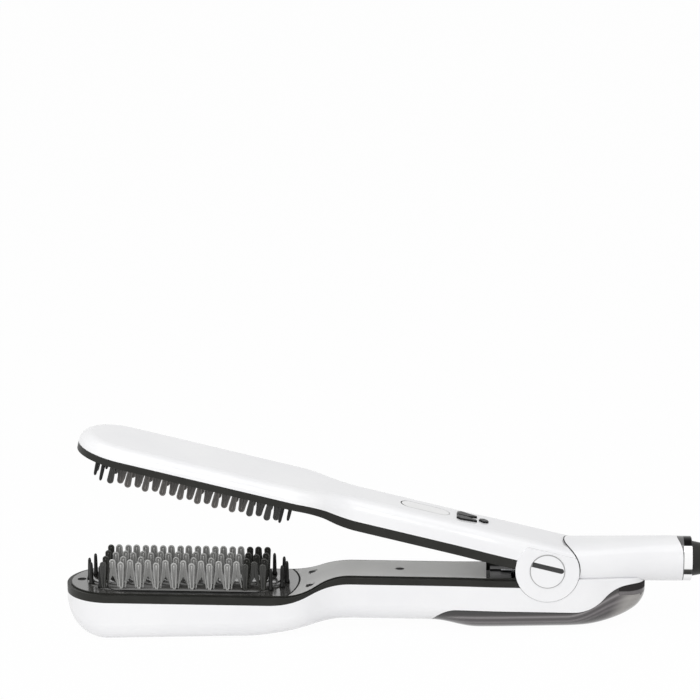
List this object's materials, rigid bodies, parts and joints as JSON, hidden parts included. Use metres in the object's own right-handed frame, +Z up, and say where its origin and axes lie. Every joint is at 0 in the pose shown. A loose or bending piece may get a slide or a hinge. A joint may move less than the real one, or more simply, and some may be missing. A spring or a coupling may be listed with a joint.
{
  "type": "steam hair straightener brush",
  "caption": "Hinged arms with heated combs, guard bristles and steam parts, a slide-off water tank, push buttons and a swivelling cord gland.",
  "frame": {"origin": "middle of the footprint on the table that the brush lies on", "axes": "+X from the nose to the cord end, +Y across the brush, +Z up"},
  "size_m": [0.3518, 0.048, 0.1055],
  "materials": {
    "white_gloss_shell": "glossy white ABS housing",
    "dark_rim": "dark warm grey moulded rim",
    "comb_plate_grey": "glossy dark grey plate round the comb",
    "handle_plate_grey": "satin light grey plate",
    "black_insert": "glossy black collar round the teeth",
    "heater_aluminium": "anodised aluminium",
    "ceramic_tooth_grey": "grey ceramic-coated teeth",
    "bristle_black": "black nylon",
    "smoked_tank": "smoky translucent plastic",
    "dark_lid": "dark moulded plastic",
    "button_grey": "dark grey button caps",
    "display_lens_grey": "light grey display window",
    "cap_dark_insert": "dark insert bar",
    "chrome_ring": "polished chrome plating",
    "boot_rubber": "dark grey soft PVC",
    "plain_steel": "zinc-plated steel",
    "inner_nylon": "natural nylon",
    "silicone_hose": "milky silicone",
    "circuit_board": "green circuit board",
    "black_component": "black components"
  },
  "bodies": {
    "lower_arm": {"lower_shell": "white_gloss_shell", "tail_shell": "white_gloss_shell", "lower_rim_frame": "dark_rim", "lower_comb_plate": "comb_plate_grey", "lower_handle_plate": "handle_plate_grey", "lower_comb_insert": "black_insert", "lower_heater_plate": "heater_aluminium", "lower_heating_teeth": "ceramic_tooth_grey", "lower_guard_bristles": "bristle_black", "lower_plate_screws": "plain_steel", "hinge_bracket": "black_component", "hinge_bushes": "inner_nylon", "torsion_spring": "plain_steel", "lower_heating_element": "heater_aluminium", "lower_thermostat": "plain_steel", "steam_generator": "heater_aluminium", "steam_duct": "plain_steel", "water_pump": "black_component", "tank_seal": "boot_rubber", "suction_hose": "silicone_hose", "delivery_hose": "silicone_hose", "chrome_collar": "chrome_ring", "swivel_socket": "inner_nylon"},
    "upper_arm": {"upper_heating_teeth": "ceramic_tooth_grey", "upper_guard_bristles": "bristle_black", "upper_shell": "white_gloss_shell", "upper_rim_frame": "dark_rim", "upper_comb_plate": "comb_plate_grey", "upper_handle_plate": "handle_plate_grey", "upper_comb_insert": "black_insert", "upper_heater_plate": "heater_aluminium", "upper_plate_screws": "plain_steel", "upper_heating_element": "heater_aluminium", "hinge_shaft": "plain_steel", "hinge_screws": "plain_steel", "hinge_caps": "white_gloss_shell", "hinge_cap_inserts": "cap_dark_insert", "control_board": "circuit_board", "display_module": "black_component", "display_lens": "display_lens_grey", "tact_switches": "black_component"},
    "button_power": {"button_power": "button_grey"},
    "button_plus": {"button_plus": "button_grey"},
    "button_minus": {"button_minus": "button_grey"},
    "water_tank": {"water_tank": "smoked_tank"},
    "tank_filler_lid": {"tank_filler_lid": "dark_lid"},
    "cord_swivel": {"cord_boot": "boot_rubber"}
  },
  "joints": [
    {"name": "arm_hinge", "type": "hinge", "parent": "lower_arm", "child": "upper_arm", "pos_m": [0.06913, 0, 0.03118], "axis": [0, 1, 0], "range_deg": [-13, 0], "stiffness_Nm_per_rad": 1.2, "springref_deg": 22.92, "deforming": ["torsion_spring"]},
    {"name": "power_press", "type": "slide", "parent": "upper_arm", "child": "button_power", "axis": [-0.2588, 0, -0.9659], "range_m": [0, 0.0008], "stiffness_N_per_m": 400, "springref_m": -0.001},
    {"name": "plus_press", "type": "slide", "parent": "upper_arm", "child": "button_plus", "axis": [-0.2588, 0, -0.9659], "range_m": [0, 0.0008], "stiffness_N_per_m": 400, "springref_m": -0.001},
    {"name": "minus_press", "type": "slide", "parent": "upper_arm", "child": "button_minus", "axis": [-0.2588, 0, -0.9659], "range_m": [0, 0.0008], "stiffness_N_per_m": 400, "springref_m": -0.001},
    {"name": "tank_slide", "type": "slide", "parent": "lower_arm", "child": "water_tank", "axis": [0.9994, 0, -0.0349], "range_m": [0, 0.056]},
    {"name": "lid_slide", "type": "slide", "parent": "water_tank", "child": "tank_filler_lid", "axis": [0.9994, 0, -0.0349], "range_m": [0, 0.012]},
    {"name": "cord_swivel", "type": "hinge", "parent": "lower_arm", "child": "cord_swivel", "pos_m": [0.1292, 0, 0.03209], "axis": [0.9994, 0, -0.0349], "continuous": true}
  ]
}
